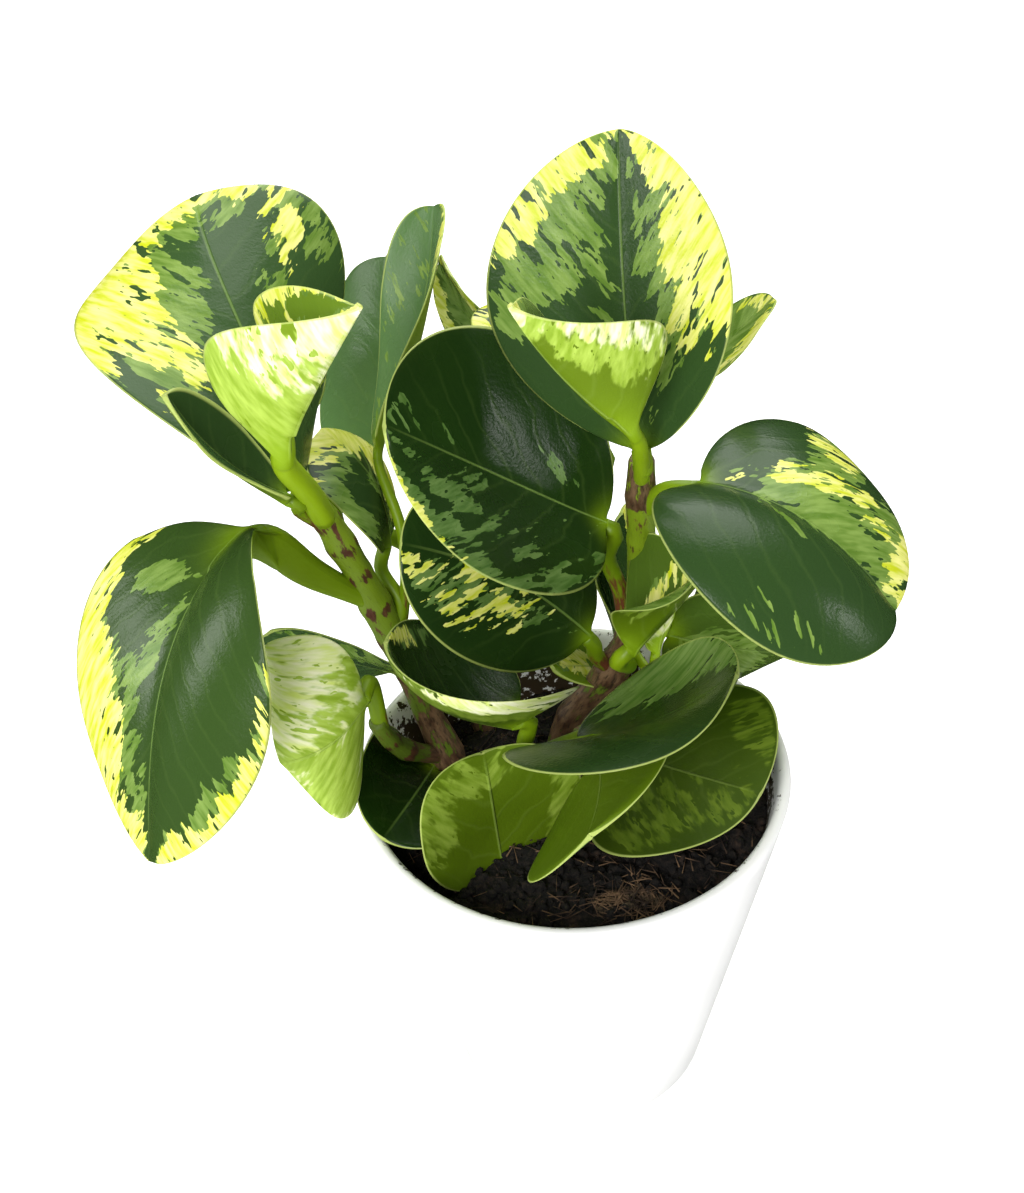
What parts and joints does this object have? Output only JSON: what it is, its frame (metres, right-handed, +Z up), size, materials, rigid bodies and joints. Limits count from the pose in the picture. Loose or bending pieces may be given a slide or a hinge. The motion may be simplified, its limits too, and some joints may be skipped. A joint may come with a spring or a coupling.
{
  "type": "potted peperomia",
  "caption": "Bushy house plant with thick rounded green and yellow variegated leaves on short fleshy stems, growing in peat in a plain tapered white pot",
  "frame": {"origin": "centre of the pot's flat underside", "axes": "+Z up; -Y is the side that the picture shows, with +X to its right"},
  "size_m": [0.2403, 0.193, 0.3016],
  "materials": {
    "pot": "white, smooth, softly glossy",
    "soil": "loose dark brown peat with reddish fibres",
    "stem": "fleshy, green with red-brown streaks, satin",
    "leaf": "dark green splashed with yellow, waxy and glossy above, matte below"
  },
  "bodies": {
    "root": {"pot": "pot", "soil": "soil", "stem_left": "stem", "stem_right": "stem", "stem_front": "stem", "stem_rear": "stem", "stem_back": "stem", "leaf_left_tall": "leaf", "leaf_left_folded": "leaf", "leaf_left_dark": "leaf", "leaf_left_drooping": "leaf", "leaf_left_curled": "leaf", "leaf_left_low": "leaf", "leaf_left_inner": "leaf", "leaf_left_rim": "leaf", "leaf_back_broad": "leaf", "leaf_back_narrow": "leaf", "leaf_back_small": "leaf", "leaf_centre_large": "leaf", "leaf_centre_banded": "leaf", "leaf_centre_trough": "leaf", "leaf_inner_dark": "leaf", "leaf_inner_round": "leaf", "leaf_inner_small": "leaf", "leaf_right_tall": "leaf", "leaf_right_folded": "leaf", "leaf_right_wide": "leaf", "leaf_right_behind": "leaf", "leaf_right_funnel": "leaf", "leaf_right_low": "leaf", "leaf_right_tiny": "leaf", "leaf_front_wide": "leaf", "leaf_front_underside": "leaf", "leaf_front_standing": "leaf", "leaf_front_hanging": "leaf", "leaf_rear_high_right": "leaf", "leaf_rear_high_left": "leaf", "leaf_rear_middle": "leaf", "leaf_rear_left": "leaf", "leaf_rear_low_left": "leaf", "leaf_rear_low_right": "leaf", "leaf_rear_right": "leaf"}
  },
  "joints": []
}
